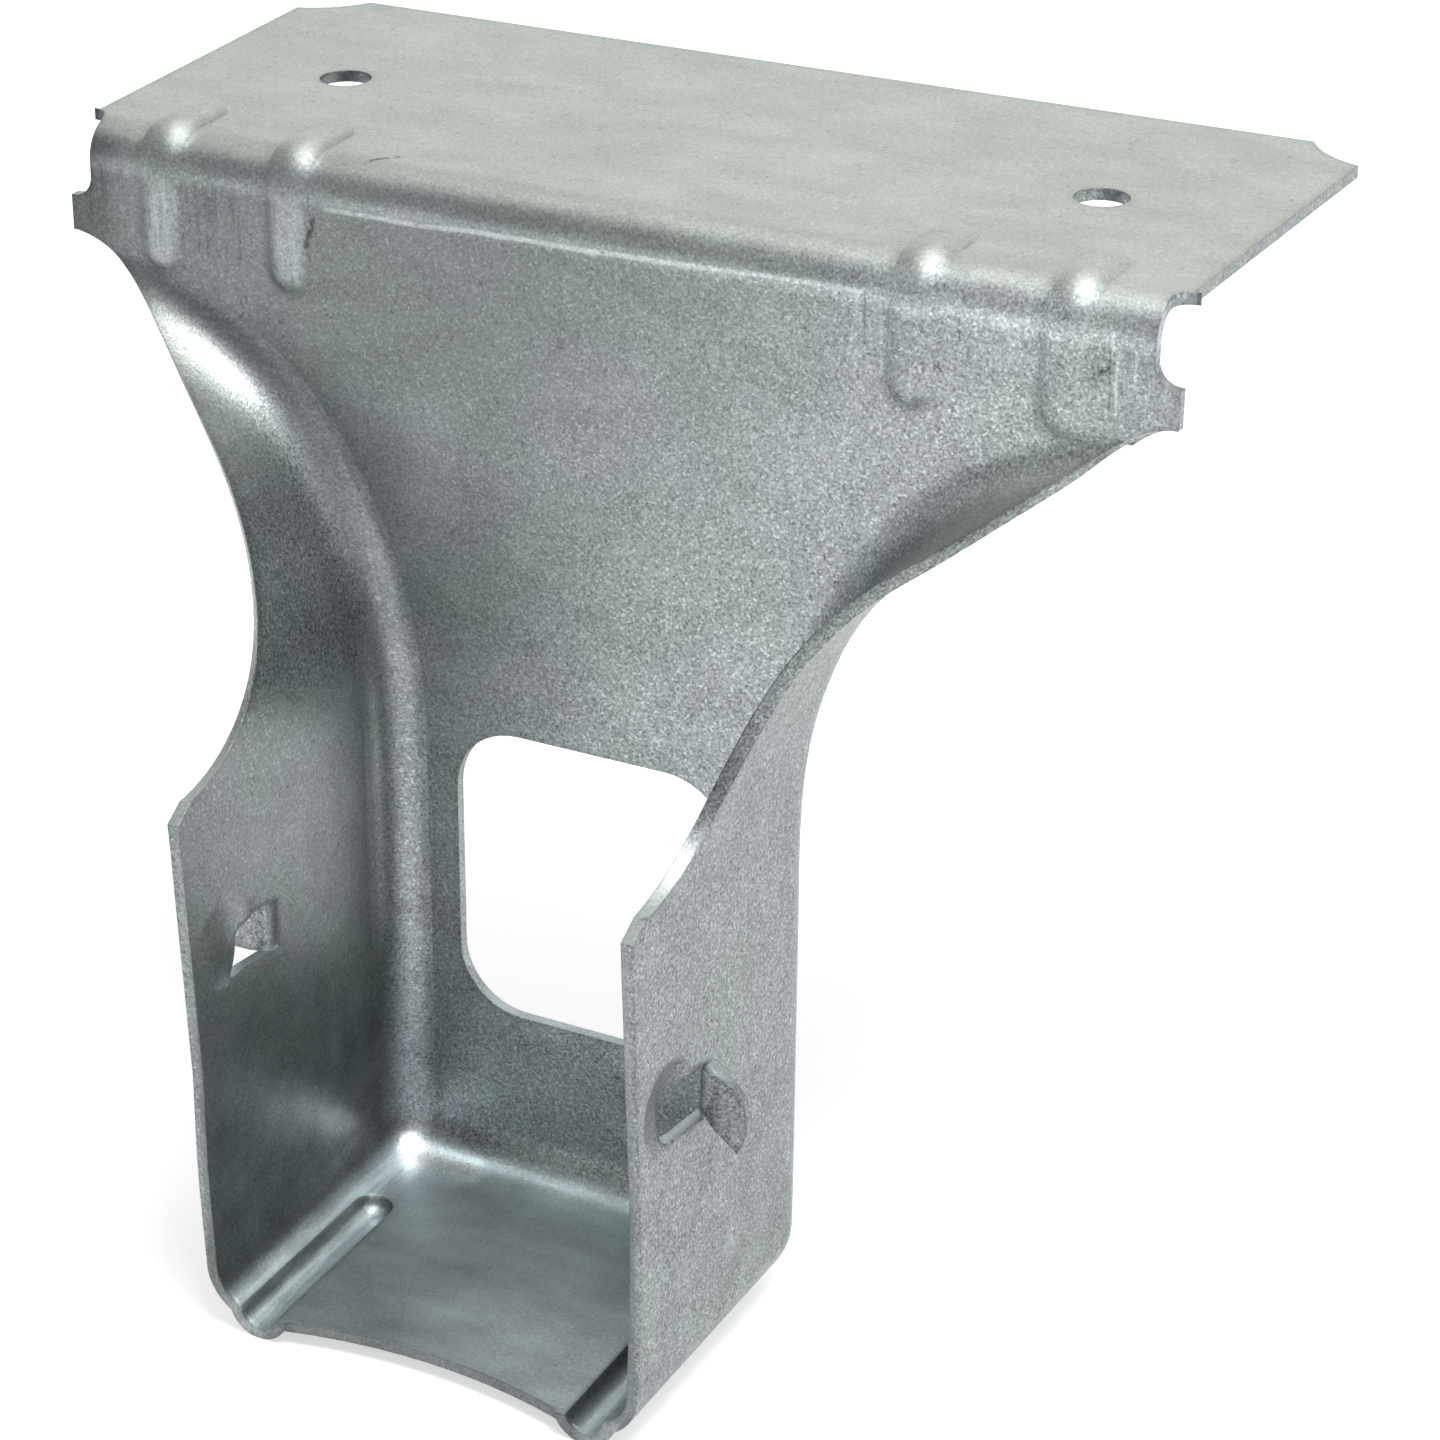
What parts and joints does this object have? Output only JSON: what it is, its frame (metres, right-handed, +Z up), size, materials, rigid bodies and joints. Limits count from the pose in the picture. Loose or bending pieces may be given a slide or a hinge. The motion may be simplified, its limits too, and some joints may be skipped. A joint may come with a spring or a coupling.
{
  "type": "post frame hanger",
  "caption": "Pressed sheet steel joist hanger: a nailed top flange, a back plate with a window and flared wings, and an open three sided socket.",
  "frame": {"origin": "midway between the two flange nail holes, on the flange's underside, where it rests on the header", "axes": "+X along the header, +Y over the header away from the joist, +Z up"},
  "size_m": [0.1002, 0.0734, 0.0941],
  "materials": {
    "galvanised": "galvanised, matte with fine spangle"
  },
  "bodies": {
    "root": {"hanger": "galvanised"}
  },
  "joints": []
}
